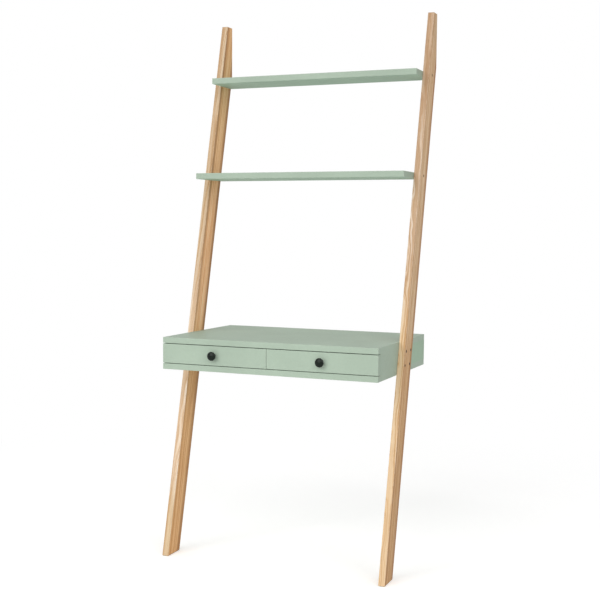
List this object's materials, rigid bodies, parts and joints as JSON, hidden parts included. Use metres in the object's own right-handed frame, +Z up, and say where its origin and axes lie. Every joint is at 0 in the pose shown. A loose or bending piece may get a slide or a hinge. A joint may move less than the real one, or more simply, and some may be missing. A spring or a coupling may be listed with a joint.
{
  "type": "ladder desk",
  "caption": "Leaning ladder desk: slanted ash legs carry a lacquered desk box with ball-runner drawers and open shelves above it, and rest on the floor and the wall.",
  "frame": {"origin": "on the floor, in the middle of the desk's width and of its whole depth from the wall to the knobs", "axes": "+X to the sitter's right, +Y back to the wall, +Z up"},
  "size_m": [0.794, 0.534, 1.84],
  "materials": {
    "ash": "clear matt oil over straight-grained ash",
    "sage_lacquer": "sage green satin lacquer",
    "birch": "clear lacquered birch",
    "birch_ply": "thin birch plywood",
    "beech": "plain beech dowels",
    "black_knob": "black satin",
    "black_steel": "black oxide steel",
    "zinc_steel": "bright zinc plate",
    "zinc_screws": "zinc plated",
    "cage_steel": "plain steel strip",
    "ball_steel": "polished bearing steel",
    "pad_rubber": "pale matt rubber"
  },
  "bodies": {
    "frame": {"case_rail_screws": "zinc_screws", "desk_back": "sage_lacquer", "desk_bottom": "sage_lacquer", "desk_divider": "sage_lacquer", "desk_dowels": "beech", "desk_top": "sage_lacquer", "left_case_rail_inner": "zinc_steel", "left_case_rail_outer": "zinc_steel", "left_desk_side": "sage_lacquer", "left_foot_pad": "pad_rubber", "left_insert_nuts": "zinc_steel", "left_leg": "ash", "left_leg_bolts": "black_steel", "left_wall_plate": "zinc_steel", "middle_shelf": "sage_lacquer", "right_case_rail_inner": "zinc_steel", "right_case_rail_outer": "zinc_steel", "right_desk_side": "sage_lacquer", "right_foot_pad": "pad_rubber", "right_insert_nuts": "zinc_steel", "right_leg": "ash", "right_leg_bolts": "black_steel", "right_wall_plate": "zinc_steel", "shelf_dowels": "beech", "upper_shelf": "sage_lacquer", "wall_plate_screws": "zinc_screws"},
    "left_cage_inner": {"left_ball_cage_inner": "cage_steel", "left_balls_inner": "ball_steel"},
    "left_cage_outer": {"left_ball_cage_outer": "cage_steel", "left_balls_outer": "ball_steel"},
    "left_drawer": {"left_drawer_back": "birch", "left_drawer_bottom": "birch_ply", "left_drawer_bottom_screws": "zinc_screws", "left_drawer_dowels": "beech", "left_drawer_front": "sage_lacquer", "left_drawer_rail_inner": "zinc_steel", "left_drawer_rail_outer": "zinc_steel", "left_drawer_rail_screws": "zinc_screws", "left_drawer_side_inner": "birch", "left_drawer_side_outer": "birch", "left_knob": "black_knob", "left_knob_screw": "zinc_screws"},
    "right_cage_inner": {"right_ball_cage_inner": "cage_steel", "right_balls_inner": "ball_steel"},
    "right_cage_outer": {"right_ball_cage_outer": "cage_steel", "right_balls_outer": "ball_steel"},
    "right_drawer": {"right_drawer_back": "birch", "right_drawer_bottom": "birch_ply", "right_drawer_bottom_screws": "zinc_screws", "right_drawer_dowels": "beech", "right_drawer_front": "sage_lacquer", "right_drawer_rail_inner": "zinc_steel", "right_drawer_rail_outer": "zinc_steel", "right_drawer_rail_screws": "zinc_screws", "right_drawer_side_inner": "birch", "right_drawer_side_outer": "birch", "right_knob": "black_knob", "right_knob_screw": "zinc_screws"}
  },
  "joints": [
    {"name": "left_drawer_slide", "type": "slide", "parent": "frame", "child": "left_drawer", "axis": [0, -1, 0], "range_m": [0, 0.32]},
    {"name": "right_drawer_slide", "type": "slide", "parent": "frame", "child": "right_drawer", "axis": [0, -1, 0], "range_m": [0, 0.32]},
    {"name": "left_cage_outer_roll", "type": "slide", "parent": "frame", "child": "left_cage_outer", "axis": [0, -1, 0], "range_m": [0, 0.16]},
    {"name": "left_cage_inner_roll", "type": "slide", "parent": "frame", "child": "left_cage_inner", "axis": [0, -1, 0], "range_m": [0, 0.16]},
    {"name": "right_cage_outer_roll", "type": "slide", "parent": "frame", "child": "right_cage_outer", "axis": [0, -1, 0], "range_m": [0, 0.16]},
    {"name": "right_cage_inner_roll", "type": "slide", "parent": "frame", "child": "right_cage_inner", "axis": [0, -1, 0], "range_m": [0, 0.16]}
  ],
  "couplings": [
    {"joint": "left_cage_outer_roll", "follows": "left_drawer_slide", "ratio": 0.5},
    {"joint": "left_cage_inner_roll", "follows": "left_drawer_slide", "ratio": 0.5},
    {"joint": "right_cage_outer_roll", "follows": "right_drawer_slide", "ratio": 0.5},
    {"joint": "right_cage_inner_roll", "follows": "right_drawer_slide", "ratio": 0.5}
  ]
}
